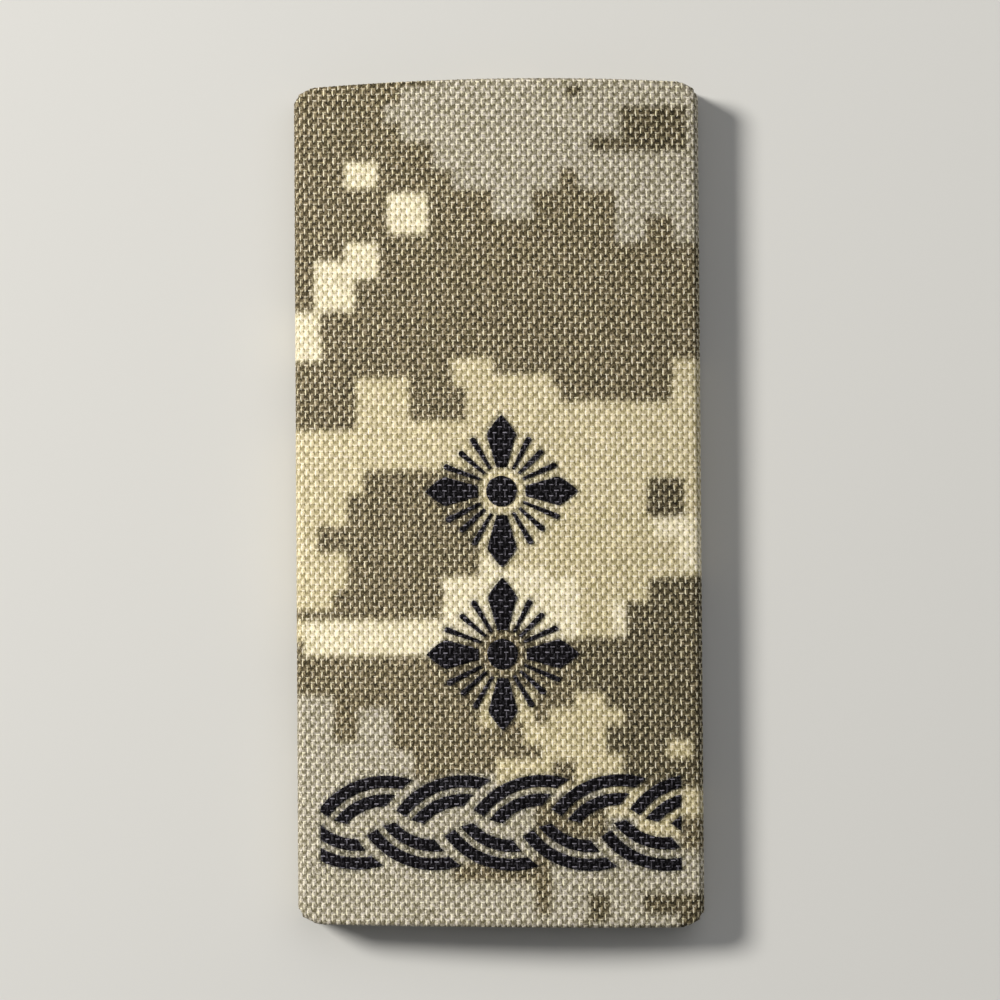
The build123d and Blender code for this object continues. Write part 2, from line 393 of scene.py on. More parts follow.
def add_piece(name, vertices, faces, finish, uv=None, colours=None, press=None):
    """A new mesh object from millimetres, with its maps and attributes by vertex."""
    mesh = bpy.data.meshes.new(name)
    mesh.from_pydata((np.asarray(vertices) * mm).tolist(), [], faces)
    mesh.update()
    mesh.shade_smooth()
    corners = np.empty(len(mesh.loops), np.int32)
    mesh.loops.foreach_get("vertex_index", corners)
    if uv is not None:
        layer = mesh.uv_layers.new(name="weave")
        layer.data.foreach_set("uv", uv[corners].astype(np.float32).ravel())
    if colours is not None:
        layer = mesh.color_attributes.new("print", "FLOAT_COLOR", "POINT")
        rgba = np.hstack([colours, np.ones((len(colours), 1))])
        layer.data.foreach_set("color", rgba.astype(np.float32).ravel())
    if press is not None:
        layer = mesh.attributes.new("press", "FLOAT", "POINT")
        layer.data.foreach_set("value", press.astype(np.float32))
    mesh.materials.append(finish.material)
    piece = bpy.data.objects.new(name, mesh)
    bpy.context.scene.collection.objects.link(piece)
    return piece


def film_outlines(node):
    """The outline in plan of each solid of a film node, in millimetres."""
    faces_up = 0.7
    solids = bmesh.new()
    solids.from_mesh(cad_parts[node].data)
    bmesh.ops.remove_doubles(solids, verts=solids.verts, dist=1e-6)
    solids.normal_update()
    follow = {}
    for face in solids.faces:
        if face.normal.z < faces_up:
            continue
        for loop in face.loops:
            across = loop.link_loop_radial_next.face
            if across.normal.z < faces_up:
                follow[loop.vert] = loop.link_loop_next.vert
    outlines = []
    while follow:
        vert = next(iter(follow))
        outline = []
        while vert in follow:
            outline.append((vert.co.x / mm, vert.co.y / mm))
            vert = follow.pop(vert)
        outlines.append(np.array(outline))
    solids.free()
    return outlines


def film_distance(points, outlines, reach):
    """How far each point in plan is outside the film, or less than 0 inside it, up to reach."""
    nearest = np.full(len(points), float(reach))
    for outline in outlines:
        low, high = outline.min(0) - reach, outline.max(0) + reach
        near = np.flatnonzero(((points > low) & (points < high)).all(1))
        if not len(near):
            continue
        p = points[near][:, None]
        edge = np.roll(outline, -1, 0) - outline
        along = np.clip(((p - outline) * edge).sum(2) / (edge**2).sum(1), 0, 1)
        away = np.linalg.norm(p - outline - along[..., None] * edge, axis=2).min(1)
        start, end = outline[:, 1], outline[:, 1] + edge[:, 1]
        rise = np.where(edge[:, 1] == 0, 1, edge[:, 1])
        meets = outline[:, 0] + (p[..., 1] - start) * edge[:, 0] / rise
        crosses = ((start > p[..., 1]) != (end > p[..., 1])) & (p[..., 0] < meets)
        inside = crosses.sum(1) % 2 == 1
        nearest[near] = np.minimum(nearest[near], np.where(inside, -away, away))
    return nearest


class Section:
    """The sleeve's outer face in section, walked from the cloth's edge under the lap to the left,
    round over the front, and up over that edge to the other one."""

    def __init__(self, sizes):
        back, front = sizes.back_fold / mm, sizes.front_fold / mm
        rise, lap = sizes.crown_rise / mm, sizes.lap_width / mm / 2
        self.cloth = sizes.cloth / mm
        fold_x, drop = half_width - front, rise + front
        self.crown = (fold_x**2 + drop**2 - front**2) / (2 * rise)
        tilt = math.atan2(fold_x, self.crown - drop)
        step = self.cloth + sizes.lap_slit / mm
        run = sizes.lap_rise_run / mm
        climb = math.atan2(step, run)
        bend = sizes.lap_bend / mm
        cut = bend * math.tan(climb / 2)
        back_x = half_width - back
        wall = (board_height - drop - back, 0)
        back_turn = (back * math.pi / 2, -math.pi / 2)
        front_turn = (front * (math.pi / 2 - tilt), tilt - math.pi / 2)
        rise_start = lap + sizes.lap_slit / mm + run
        moves = (
            (lap + back_x, 0),
            back_turn,
            wall,
            front_turn,
            (2 * tilt * self.crown, -2 * tilt),
            front_turn,
            wall,
            back_turn,
            (back_x - rise_start - cut, 0),
            (bend * climb, -climb),
            (math.hypot(step, run) - 2 * cut, 0),
            (bend * climb, climb),
            (rise_start - run + lap - cut, 0),
        )
        self.lengths = np.array([move[0] for move in moves])
        self.turns = np.array([move[1] for move in moves])
        self.starts = np.concatenate([[0], np.cumsum(self.lengths)])
        self.total = self.starts[-1]
        self.middle = (self.starts[4] + self.starts[5]) / 2
        place, heading = np.array([lap, 0.0]), math.pi
        self.places, self.headings = [], []
        for move, turn in moves:
            self.places.append(place)
            self.headings.append(heading)
            place = place + self.step(move, turn, move, heading)
            heading += turn
        self.places = np.array(self.places)
        self.headings = np.array(self.headings)
        self.ends = [
            (1, self.end_curve(sizes.upper_short), sizes.upper_corner / mm),
            (-1, self.end_curve(sizes.lower_short), sizes.lower_corner / mm),
        ]

    @staticmethod
    def step(length, turn, done, heading):
        """The way from a move's start to the point that far along it."""
        if turn == 0:
            return done * np.array([math.cos(heading), math.sin(heading)])
        radius = length / turn
        end = heading + done / radius
        return radius * np.array([math.sin(end) - math.sin(heading), math.cos(heading) - math.cos(end)])

    def at(self, distance):
        """The place in the section and the direction into the cloth, at distances along the face."""
        move = np.clip(np.searchsorted(self.starts, distance, side="right") - 1, 0, len(self.lengths) - 1)
        done = distance - self.starts[move]
        turn, heading = self.turns[move], self.headings[move]
        straight = turn == 0
        radius = self.lengths[move] / np.where(straight, 1, turn)
        end = np.where(straight, heading, heading + done / radius)
        across = np.where(straight, done * np.cos(heading), radius * (np.sin(end) - np.sin(heading)))
        up = np.where(straight, done * np.sin(heading), radius * (np.cos(heading) - np.cos(end)))
        place = self.places[move] + np.stack([across, up], -1)
        return place, np.stack([np.sin(end), -np.cos(end)], -1)

    @staticmethod
    def end_curve(short):
        """The shallow curve through an end's three measured points, as a quadratic in x."""
        left, middle, right = (full_length / 2 - v / mm for v in short)
        return ((left + right) / 2 - middle) / half_width**2, (right - left) / 2 / half_width, middle

    def ends_y(self, x):
        """The board's lower and upper end at x: bowed, with round corners."""
        x = np.clip(x, -half_width, half_width)
        found = []
        for side, (bow, slope, middle), radius in self.ends:
            inner = half_width - radius
            held = np.clip(x, -inner, inner)
            past = np.abs(x) - np.abs(held)
            reach = bow * held**2 + slope * held + middle - radius
            found.append(side * (reach + np.sqrt(np.maximum(radius**2 - past**2, 0))))
        upper, lower = found
        return lower, upper

    def crown_z(self, x):
        """Height of the front's nominal face."""
        return board_height - self.crown + np.sqrt(self.crown**2 - x**2)


def warp_places(section, sizes):
    """Distances along the section of the lines between the warps, and the warps' numbers there."""
    pitch, spread = sizes.warp_pitch / mm, sizes.warp_spread
    spread_stops = 40  # warps from the middle
    widest_last = 1.3  # widths of a warp
    middle_number = 200
    sides = []
    for side, room in ((-1, section.middle), (1, section.total - section.middle)):
        places, count = [0.0], 0
        while True:
            width = pitch * (1 + spread * side * min(count + 0.5, spread_stops))
            if places[-1] + widest_last * width > room:
                break
            places.append(places[-1] + width)
            count += 1
        part = (room - places[-1]) / width
        sides.append((np.array([*places, room]), np.array([*range(count + 1), count + part])))
    (left, left_number), (right, right_number) = sides
    places = section.middle + np.concatenate([-left[:0:-1], right])
    numbers = np.concatenate([-left_number[:0:-1], right_number]) + middle_number
    return places, numbers


def weave_map(section, sizes, x, y):
    """The map "weave" at places on the front: numbers of warps and wefts."""
    places, numbers = warp_places(section, sizes)
    across = section.middle + section.crown * np.arcsin(x / section.crown)
    pitch = sizes.weft_pitch / mm
    return np.stack([np.interp(across, places, numbers), y / pitch + math.ceil(half_length / pitch)], -1)


def with_middles(line):
    """The line's points with the middle of each gap between them."""
    halves = np.empty(2 * len(line) - 1)
    halves[::2] = line
    halves[1::2] = (line[:-1] + line[1:]) / 2
    return halves


def hidden_patches(section):
    """Patches of the same make for the sides and the back, which the front's table doesn't reach."""
    chance = np.random.default_rng(11)
    square, groups = 2.2, 34
    front_reach = 31
    patches = []
    for _ in range(groups):
        tone = ("dark", "grey", "khaki", "cream", "light", "dark", "grey")[chance.integers(7)]
        side = chance.choice((-1, 1))
        x = side * chance.uniform(front_reach + 2, section.total / 2)
        y = chance.uniform(-half_length, half_length)
        for _ in range(chance.integers(2, 6)):
            wide, tall = square * chance.integers(1, 5, 2)
            x += square * chance.integers(-2, 3)
            y += square * chance.integers(-2, 3)
            if abs(x) - wide > front_reach:
                patches.append((tone, x - wide, y - tall, x + wide, y + tall))
    return patches


def softened(values, axis):
    """Each value of a grid mixed with its two neighbours along an axis."""
    places = np.arange(values.shape[axis])
    before = values.take(np.maximum(places - 1, 0), axis)
    after = values.take(np.minimum(places + 1, places[-1]), axis)
    return values * 0.5 + (before + after) * 0.25


def print_colours(section, sizes, across, along):
    """The print's colour at each point of the grid, with slightly ragged and soft borders."""
    chance = np.random.default_rng(3)
    stray, shape = 0.07, (len(across), len(along))
    x = (across - section.middle)[:, None] + chance.normal(0, stray, shape)
    y = along[None, :] + chance.normal(0, stray, shape)
    colours = np.empty((*shape, 3))
    colours[:] = sizes.brown
    for patch in (*hidden_patches(section), *PRINT):
        row = dict(zip(PRINT_COLUMNS, patch))
        inside = (x > row["left"]) & (x < row["right"]) & (y > row["bottom"]) & (y < row["top"])
        colours[inside] = getattr(sizes, row["tone"])
    return softened(softened(colours, 0), 1)


def rounding(distance, radius):
    """How far a rounded edge has dropped, that far in from it."""
    inside = np.clip(radius - distance, 0, radius)
    return radius - np.sqrt(radius**2 - inside**2)


def cell_ring(fine, left_fine, right_fine):
    """The nodes round one crossing, counter-clockwise. A fine one has the middles of its sides."""
    ring = [(0, 0), (2, 0), (2, 2), (0, 2)]
    if fine or left_fine:
        ring.insert(4, (0, 1))
    if fine:
        ring.insert(3, (1, 2))
    if fine or right_fine:
        ring.insert(2, (2, 1))
    if fine:
        ring.insert(1, (1, 0))
    return ring


def open_loop(triangles, count):
    """The one loop of edges that only one triangle has, in order."""
    starts = triangles.ravel()
    ends = np.roll(triangles, -1, 1).ravel()
    alone = ~np.isin(starts * count + ends, ends * count + starts)
    follow = dict(zip(starts[alone].tolist(), ends[alone].tolist()))
    if len(follow) != alone.sum():
        raise RuntimeError("the outer face's edge touches itself")
    vert = min(follow)
    loop = []
    while vert in follow:
        loop.append(vert)
        vert = follow.pop(vert)
    if follow:
        raise RuntimeError("the outer face has more than one edge")
    return loop


def join_loops(outer, inner, places):
    """Triangles between two loops that run side by side."""
    triangles = []
    outer, inner = [*outer, outer[0]], [*inner, inner[0]]
    i = j = 0
    while i < len(outer) - 1 or j < len(inner) - 1:
        if i == len(outer) - 1:
            along_outer = False
        elif j == len(inner) - 1:
            along_outer = True
        else:
            by_outer = np.linalg.norm(places[outer[i + 1]] - places[inner[j]])
            by_inner = np.linalg.norm(places[outer[i]] - places[inner[j + 1]])
            along_outer = by_outer < by_inner
        if along_outer:
            triangles.append((outer[i + 1], outer[i], inner[j]))
            i += 1
        else:
            triangles.append((outer[i], inner[j], inner[j + 1]))
            j += 1
    return triangles


class SleeveMesh:
    """The sleeve as one closed sheet: a woven outer face, a plainer inner one and a rounded edge."""

    def __init__(self, sizes, thread):
        self.sizes = sizes
        self.section = Section(sizes)
        self.seams = sizes.lap_width / mm / 2 - thread.inset / mm
        bounds, numbers = warp_places(self.section, sizes)
        self.across, self.warp = with_middles(bounds), with_middles(numbers)
        pitch = sizes.weft_pitch / mm
        wefts = 2 * math.ceil(half_length / pitch)
        self.along = (np.arange(2 * wefts + 1) / 2 - wefts / 2) * pitch
        fine_reach = 27.5  # to just past the front's folds
        self.fine = np.abs(self.across[1::2] - self.section.middle) < fine_reach
        self.outer_face()
        self.inner_face()
        self.join()

    @staticmethod
    def near_film(x, y, z, nodes, reach):
        """How near the front's points are to the film of those nodes: 1 on it, and 0 that far from it."""
        lowest = board_height - 3
        front = z > lowest
        outlines = [line for node in nodes for line in film_outlines(node)]
        distance = np.full(x.shape, reach)
        distance[front] = film_distance(np.stack([x[front], y[front]], -1), outlines, reach)
        return 1 - smooth_step(0.0, reach, distance)

    def outer_face(self):
        """A grid with two steps to each yarn, in relief, with its maps and colours."""
        sizes, section = self.sizes, self.section
        yarn_ends = (-0.05, 0.04)  # past the cloth's end, between two warps and at the middle of one
        flattened = 0.8
        back_top, seam_width, seam_depth = 0.3, 0.45, 0.22
        least_darkening = 0.65
        chance = np.random.default_rng(5)
        columns, rows = len(self.across), len(self.along)
        a, b = np.meshgrid(np.arange(columns), np.arange(rows), indexing="ij")
        place, inward = section.at(self.across)
        bump = np.array(yarn_ends)[np.arange(columns) % 2]
        edge = sizes.end_round / mm
        lower, upper = section.ends_y(place[:, 0] + inward[:, 0] * edge)
        lower, upper = (lower - bump)[:, None], (upper + bump)[:, None]
        self.low, self.high = self.end_rows(lower[:, 0], upper[:, 0])
        stop_low, stop_high = self.low[:, None], self.high[:, None]
        uneven = sizes.unevenness / mm
        sway = sizes.sway / mm
        warp_over = (a // 2 + b // 2) % 2 == 0
        side_middle = (a % 2 == 0) & (b % 2 == 1)
        row_middle = (a % 2 == 1) & (b % 2 == 0)
        across = self.across[:, None] + chance.normal(0, uneven, a.shape)
        across += np.where(side_middle, np.where(warp_over, sway, -sway), 0)
        across[0], across[-1] = self.across[0], self.across[-1]
        along = self.along[None, :] + chance.normal(0, uneven, a.shape)
        along += np.where(row_middle, np.where(warp_over, -sway, sway), 0)
        along = np.where(b >= stop_high, upper, along)
        along = np.where(b <= stop_low, lower, along)
        place, inward = section.at(across)
        x, z = place[..., 0], place[..., 1]
        press = self.near_film(x, along, z, film_nodes, sizes.press_reach / mm)
        corner = (a % 2 == 0) & (b % 2 == 0)
        relief = np.where(corner, sizes.pit_depth / mm, 0)
        relief += np.where((a % 2 == 1) & (b % 2 == 1) & ~warp_over, sizes.weft_depth / mm, 0)
        relief += np.where(side_middle | row_middle, sizes.flank_depth / mm, 0)
        relief += chance.normal(0, uneven, a.shape) + chance.normal(0, uneven, (columns, 1))
        depth = relief * (1 - flattened * press) + press * sizes.press_depth / mm
        seam = np.exp(-(((np.abs(x) - self.seams) / seam_width) ** 2)) * (z < back_top)
        depth += seam_depth * seam
        from_end = np.maximum(np.minimum(upper - along, along - lower), 0)
        from_side = np.minimum(self.across, section.total - self.across)[:, None]
        depth = np.maximum(depth, 0) * smooth_step(0, edge, from_end) + np.maximum(
            rounding(from_end, edge), rounding(from_side, edge)
        )
        x, z = x + inward[..., 0] * depth, z + inward[..., 1] * depth
        colours = print_colours(section, sizes, self.across, self.along)
        # The print darkened near the points, rays and strands.
        dulling = [node for node in film_nodes if "disc" not in node]
        near_film_darkening = self.near_film(x, along, z, dulling, sizes.darkening_reach / mm)[..., None]
        near_film_darkening = near_film_darkening * (least_darkening + chance.random((*a.shape, 1)) * (1 - least_darkening))
        colours *= 1 - near_film_darkening * np.array(sizes.near_film_darkening)
        self.nodes = np.stack([x, along, z], -1).reshape(-1, 3)
        warp = np.broadcast_to(self.warp[:, None], a.shape)
        weft = (along - self.along[0]) / (sizes.weft_pitch / mm)
        weft = np.where((b >= stop_high) | (b <= stop_low), weft, np.arange(rows) / 2)
        self.uv = np.stack([warp, weft], -1).reshape(-1, 2)
        self.colours = colours.reshape(-1, 3)
        self.press = press.ravel()
        self.outer = self.outer_triangles(rows)

    def end_rows(self, lower, upper):
        """The first and last row of each column: the rows beyond them fold up into them."""
        margin = 0.12
        low, high = [], []
        for column in range(len(lower)):
            cells = {min(max(k, 0), len(self.fine) - 1) for k in ((column - 1) // 2, column // 2)}
            fine = any(self.fine[k] for k in cells)
            rows = np.arange(len(self.along)) if fine else np.arange(column % 2, len(self.along), 2)
            lines = self.along[rows]
            inside = rows[(lines < upper[column] - margin) & (lines > lower[column] + margin)]
            step = 1 if fine else 2
            low.append(inside[0] - step)
            high.append(inside[-1] + step)
        return np.array(low), np.array(high)

    def outer_triangles(self, rows):
        """A fan of triangles round the middle of each crossing."""
        triangles = []
        lines = np.arange((rows - 1) // 2) * 2
        for cell, fine in enumerate(self.fine):
            left_fine = self.fine[max(cell - 1, 0)]
            right_fine = self.fine[min(cell + 1, len(self.fine) - 1)]
            ring = cell_ring(fine, left_fine, right_fine)
            for first, second in zip(ring, ring[1:] + ring[:1]):
                corners, stopped = [], []
                for da, db in ((1, 1), first, second):
                    column = 2 * cell + da
                    row = np.clip(lines + db, self.low[column], self.high[column])
                    corners.append(column * rows + row)
                    stopped.append(
                        (row == self.high[column]).astype(int) - (row == self.low[column]).astype(int)
                    )
                p, q, r = corners
                flat = np.abs(np.sum(stopped, 0)) == 3
                keep = (p != q) & (q != r) & (r != p) & ~flat
                triangles.append(np.stack(corners, -1)[keep])
        return np.concatenate(triangles)

    def inner_face(self):
        """A regular grid, one face to two warps and two wefts."""
        sizes, section = self.sizes, self.section
        end_strip, strips, lining_press = 0.35, 74, 0.35
        columns = sorted({*range(0, len(self.across), 4), len(self.across) - 1})
        across = self.across[columns]
        place, inward = section.at(across)
        place = place + inward * section.cloth
        lower, upper = (end[:, None] for end in section.ends_y(place[:, 0]))
        close = end_strip / full_length
        done = np.concatenate([[0], np.linspace(close, 1 - close, strips), [1]])[None, :]
        along = lower + (upper - lower) * done
        edge = sizes.end_round / mm
        from_side = np.minimum(across, section.total - across)
        drop = np.maximum(
            rounding(np.minimum(upper - along, along - lower), edge), rounding(from_side, edge)[:, None]
        )
        x = place[:, :1] - inward[:, :1] * drop
        z = place[:, 1:] - inward[:, 1:] * drop
        first = len(self.nodes)
        shape = along.shape
        self.nodes = np.concatenate([self.nodes, np.stack([x, along, z], -1).reshape(-1, 3)])
        weft = (along - self.along[0]) / (sizes.weft_pitch / mm)
        warp = np.broadcast_to(self.warp[columns][:, None], shape)
        self.uv = np.concatenate([self.uv, np.stack([warp, weft], -1).reshape(-1, 2)])
        lining = np.empty((x.size, 3))
        lining[:] = sizes.lining
        self.colours = np.concatenate([self.colours, lining])
        self.press = np.concatenate([self.press, np.full(x.size, lining_press)])
        names = first + np.arange(x.size).reshape(shape)
        quads = np.stack([names[:-1, :-1], names[:-1, 1:], names[1:, 1:], names[1:, :-1]], -1)
        self.inner = quads.reshape(-1, 4)
        self.inner_loop = [
            *names[:-1, 0],
            *names[-1, :-1],
            *names[:0:-1, -1],
            *names[0, :0:-1],
        ]

    def join(self):
        """Joins the two faces by a rim round the cloth's whole edge, and drops the unused nodes."""
        loop = open_loop(self.outer, len(self.nodes))
        start = self.nodes[self.inner_loop[0]]
        nearest = int(np.argmin(np.linalg.norm(self.nodes[loop] - start, axis=1)))
        loop = loop[nearest:] + loop[:nearest]
        rim = join_loops(loop, self.inner_loop, self.nodes)
        faces = [*self.outer.tolist(), *self.inner.tolist(), *rim]
        used = np.unique(np.concatenate([self.outer.ravel(), self.inner.ravel(), np.ravel(rim)]))
        renumber = np.full(len(self.nodes), -1)
        renumber[used] = np.arange(len(used))
        self.faces = [[int(renumber[k]) for k in face] for face in faces]
        self.nodes, self.uv = self.nodes[used], self.uv[used]
        self.colours, self.press = self.colours[used], self.press[used]


class Weave:
    """Where a point lies in its crossing of the weave, by the map of that name, and how near it is to
    the crossing's two painted highlights: the dash along the warp and the arm across it. Chances change
    from crossing to crossing, and grit about three times as often."""

    def __init__(self, finish):
        self.u, self.v, _ = finish.axes(finish.node("ShaderNodeUVMap", {"uv_map": "weave"}))
        self.warp, self.weft = self.u.floor(), self.v.floor()
        right, up = self.u - self.warp, self.v - self.weft
        self.right, self.up = right, up
        self.weft_over = (self.warp + self.weft) % 2
        self.warp_over = 1 - self.weft_over
        self.chances = finish.chances(finish.vector(self.warp, self.weft))
        first, second, third = self.chances
        stray = finish.noise(finish.vector(self.u * 1.7, self.v * 1.3)) - 0.5
        # The dash, a painted highlight, runs up the lit side of a warp that passes over, and its tail
        # starts on the weft below it.
        lean = 0.3 - up * 0.02 + (first - 0.5) * 0.18 + stray * 0.2
        dash = right.near(lean, peak=1.55, fall=12.5) * (1.25 - up * 0.5)
        dash = dash * ((1.1 + second * 0.25 - up) * 5).held() * (0.42 + third * 0.68)
        tail = right.near(stray * 0.2 + 0.3, peak=1.4, fall=12.5) * (up * 10 - 8.4).held()
        # The arm, a painted highlight, crosses the lit foot of a weft that passes over.
        arm = up.near(second * 0.15 + stray * 0.2 + 0.02, peak=1.5, fall=14)
        arm = arm * right.near(third * 0.12 + 0.32, peak=2.35, fall=4.4) * (0.35 + first * 0.8)
        self.dash = self.warp_over * dash + self.weft_over * tail * 0.75
        self.arm = self.weft_over * arm
        drift = stray * 2
        grit_across, grit_along = (self.u * 3.3 + drift).floor(), (self.v * 3.7 + drift).floor()
        self.grit = finish.chances(finish.vector(grit_across, grit_along))


def cloth_finish(sizes):
    """Plain-woven printed cloth: painted highlights on the yarns, painted shade in the hollows between
    them.
    """
    cloth = Finish("cloth_print", Specular_IOR_Level=0.22)
    weave = Weave(cloth)
    right, up, weft_over, warp_over = weave.right, weave.up, weave.weft_over, weave.warp_over
    open_weave = 1 - cloth.node("ShaderNodeAttribute", {"attribute_name": "press"}, output=2) * 0.3
    printed = cloth.node("ShaderNodeAttribute", {"attribute_name": "print"})
    red, green, blue = cloth.axes(printed)
    paleness = (red + green + blue) / 3

    # Painted shade in the hollows beside the warps that pass over and above the wefts that do, and in the
    # pits between them.
    shade_beside_warp = right.ramp(0.42, 0.55) * 0.1 + right.ramp(0.78, 1.0) * 0.46 + (1 - right * 7).held() * 0.5
    shade_beside_warp = shade_beside_warp + (1 - up * 3.2).held() * right.ramp(0.48, 0.62) * 0.42
    shade_above_weft = up.ramp(0.2, 0.55) * (0.76 - right.ramp(0.6, 1.0) * 0.18)
    painted_hollow_shade = (warp_over * shade_beside_warp + weft_over * shade_above_weft) * open_weave * (1 - paleness * 0.78)
    # Painted shade in the pits at the crossings' corners.
    corner = (abs(right * 2 - 1) * abs(up * 2 - 1)).ramp(0.38, 0.78)
    pit_up = 0.6 + weave.chances[1] * 0.12
    painted_pit_shade = right.near(0.09, peak=1.5, fall=8.5) * up.near(pit_up, peak=1.45, fall=5.2) * weft_over
    painted_pit_shade = (painted_pit_shade * (0.75 + weave.chances[2] * 0.3) + corner * (0.55 + paleness * 0.7)).held()
    painted_pit_shade = painted_pit_shade * (0.755 - paleness * 0.19)

    # Fibres that run along each yarn, and the grain of the whole cloth.
    lengthwise = cloth.vector(
        right * 4.5 + up * warp_over + weave.warp * 7, up * 4.5 + right * weft_over + weave.weft * 5
    )
    fibre = cloth.noise(lengthwise, detail=3.0, roughness=0.6)
    grain = cloth.noise(cloth.vector(weave.u * 2.7, weave.v * 3.1), roughness=0.8)

    # The print under all that painted shade, with random tone from the fibres, grain and grit and a painted
    # highlight along each arm; the painted shade is warmer where it is darker.
    painted_shade_and_grain = (1 - painted_hollow_shade) * (1 - painted_pit_shade * open_weave) * (0.84 + weave.chances[1] * 0.32)
    painted_shade_and_grain = painted_shade_and_grain * (0.3 + fibre * 1.4) * (1 + (grain - 0.5) * (2.5 - paleness * 2.2))
    painted_shade_and_grain = painted_shade_and_grain * (1 + weave.arm * (1 - paleness) * 0.9)
    painted_shade_and_grain = painted_shade_and_grain * (1 + (weave.grit[0] - 0.5) * (1.25 - paleness * 2).held() * 1.6)
    shaded_print = cloth.node("ShaderNodeVectorMath", {"operation": "SCALE"}, {0: printed, "Scale": painted_shade_and_grain})
    warm = cloth.mix(painted_shade_and_grain.ramp(0.2, 0.85), (1.0, 0.96, 0.66), (1.0, 1.0, 1.04))
    shaded_print = cloth.mix(1.0, shaded_print, warm, "MULTIPLY")

    # Painted highlights along the dashes and arms, and stray threads are cooler or warmer.
    painted_highlight = weave.dash + weave.arm * (0.55 + paleness * 0.9)
    painted_highlight = painted_highlight * open_weave * (fibre + grain * 1.5 - 0.22) * (0.8 + weave.grit[1] * 0.4)
    painted_highlight = (painted_highlight * (0.7 + paleness * 1.9).held()).held()
    highlight_tone = cloth.mix(weave.chances[1], tuple(sizes.highlight_colour), tuple(sizes.cool_highlight_colour))
    highlight_tone = cloth.mix((paleness * 1.15).held(), highlight_tone, tuple(sizes.pale_highlight_colour))
    tint = cloth.mix(weave.grit[2], (1.0, 0.985, 0.9), (0.99, 0.96, 1.06))
    cloth.set("Base Color", cloth.mix(1.0, cloth.mix(painted_highlight, shaded_print, highlight_tone), tint, "MULTIPLY"))
    cloth.set("Roughness", 0.8 - painted_highlight * 0.25)

    # Each yarn is a cushion where it passes over.
    yarn_across = right + weft_over * (up - right)
    yarn_along = up + weft_over * (right - up)
    from_middle, from_centre = abs(yarn_across * 2 - 1), abs(yarn_along * 2 - 1)
    yarn = (1 - from_middle * from_middle) * (1 - from_centre * from_centre * 0.55)
    height = yarn * open_weave * (1 - weft_over * 0.25) + fibre * 0.2 + grain * 0.12
    cloth.set("Normal", cloth.bump(height, strength=0.5, distance=0.14 * mm))
    return cloth


def film_finish(sizes):
    """Matt black film that shows the weave beneath it, with painted highlights along the lines of its
    imprint, light specks, and a painted highlight on its rim.
    """
    film = Finish("film_black", Specular_IOR_Level=0.03)
    weave = Weave(film)
    # The film's edge, where a painted highlight goes on its rim.
    rim = film.node("ShaderNodeAttribute", {"attribute_name": "press"}, output=2)
    speck = film.noise(film.vector(weave.u * 3.4, weave.v * 3.9), detail=3.0, roughness=0.75)
    first, second, _ = weave.chances
    # Painted highlights along the imprint's lines, light specks, and a painted highlight on the rim.
    painted_glints_and_specks = weave.arm * (1.0 + second * 0.9) + weave.dash * (0.06 + first * 0.3)
    patchy = film.noise(film.vector(weave.u * 0.55, weave.v * 0.65)).ramp(0.36, 0.62)
    grit = weave.grit[0]
    painted_glints_and_specks = painted_glints_and_specks * (0.45 + patchy * 1.4) * (0.5 + grit * 0.9)
    painted_glints_and_specks = painted_glints_and_specks + grit.ramp(0.55, 1.0) * speck.ramp(0.35, 0.6) * 0.13 + rim * grit.ramp(0.45, 0.9) * 0.5
    film.set("Base Color", film.mix(painted_glints_and_specks.held(), tuple(sizes.black), tuple(sizes.edge)))
    film.set("Roughness", 0.62 - painted_glints_and_specks.held() * 0.15)
    right, up = weave.right, weave.up
    from_middle, from_centre = abs(right * 2 - 1), abs(up * 2 - 1)
    pillow = (1 - from_middle * from_middle) * (1 - from_centre * from_centre)
    height = pillow * (1 - weave.weft_over * 0.5) + speck * 0.3
    film.set("Normal", film.bump(height, strength=0.7, distance=0.09 * mm))
    return film


def thread_finish(sizes):
    """Twisted thread, with painted shade in the grooves between its strands."""
    thread = Finish("thread_khaki", Specular_IOR_Level=0.4, Sheen_Weight=0.2)
    place = thread.node("ShaderNodeTexCoord", output=3)
    x, y, _ = thread.axes(place)
    strands_along, strands_across = 2600, 5200  # to a metre
    twist = (y * strands_along + x * strands_across) % 1
    strand = 1 - abs(twist * 2 - 1)
    # Painted shade in the grooves of the twist.
    painted_groove_shade = tuple(c * 0.55 for c in sizes.khaki)
    thread.set("Base Color", thread.mix(strand, painted_groove_shade, tuple(sizes.khaki)))
    thread.set("Roughness", 0.65 - strand * 0.15)
    thread.set("Normal", thread.bump(strand, strength=0.6, distance=0.05 * mm))
    return thread


def floor_finish(sizes):
    """A plain pale floor."""
    floor = Finish("floor_pale", Specular_IOR_Level=0.3)
    place = floor.node("ShaderNodeTexCoord", output=3)
    cloud = floor.noise(place, detail=3.0, scale=9.0)
    darker = tuple(c * 0.8 for c in sizes.floor)
    floor.set("Base Color", floor.mix(cloud * 0.12, tuple(sizes.floor), darker))
    floor.set("Roughness", 0.8 + cloud * 0.1)
    return floor


